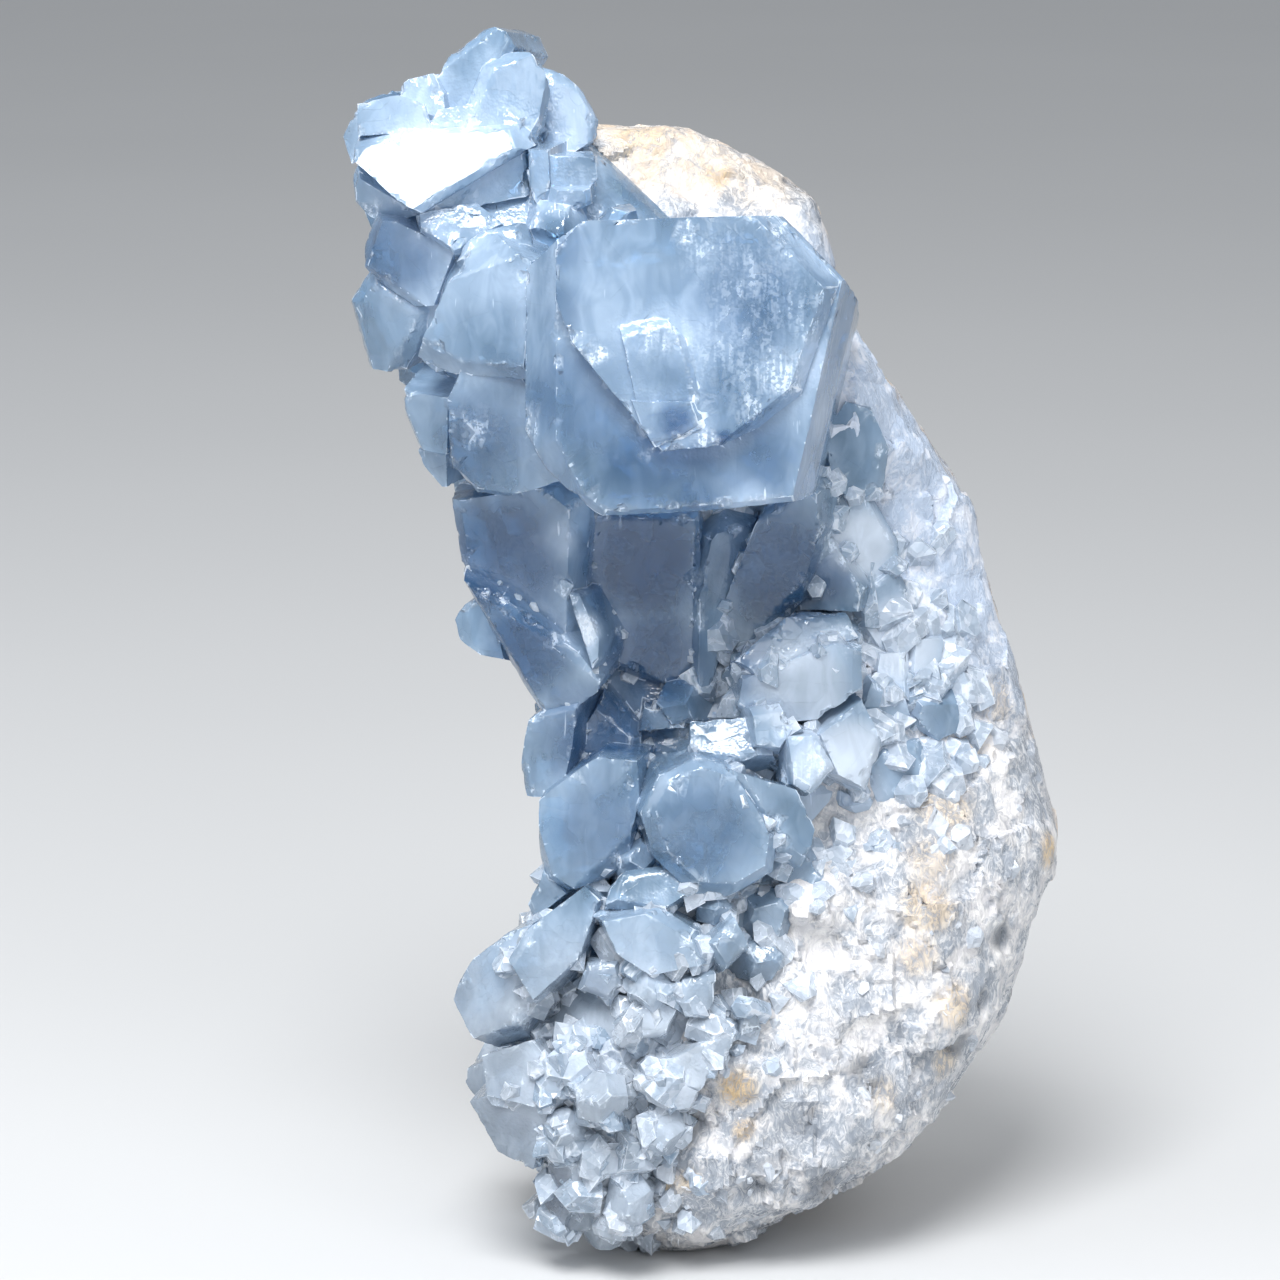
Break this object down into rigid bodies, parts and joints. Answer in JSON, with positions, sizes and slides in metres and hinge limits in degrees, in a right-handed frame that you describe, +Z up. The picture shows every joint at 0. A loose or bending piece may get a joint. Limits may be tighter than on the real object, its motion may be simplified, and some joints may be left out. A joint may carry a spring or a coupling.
{
  "type": "celestite on matrix",
  "caption": "Curved geode fragment with a crust of pale blue celestite crystals on a white granular matrix, standing on a small flat spot.",
  "frame": {"origin": "on the flat spot under the matrix, where the specimen rests", "axes": "+Z up along the length of the specimen; the great crystal faces -Y"},
  "size_m": [0.0994, 0.0736, 0.1703],
  "materials": {
    "granular_celestite": "crumbly granular white stone with a rough tan rind",
    "celestite": "clear to milky pale blue crystal with polished and frosted faces"
  },
  "bodies": {
    "root": {"matrix": "granular_celestite", "crystal_crust": "celestite"}
  },
  "joints": []
}
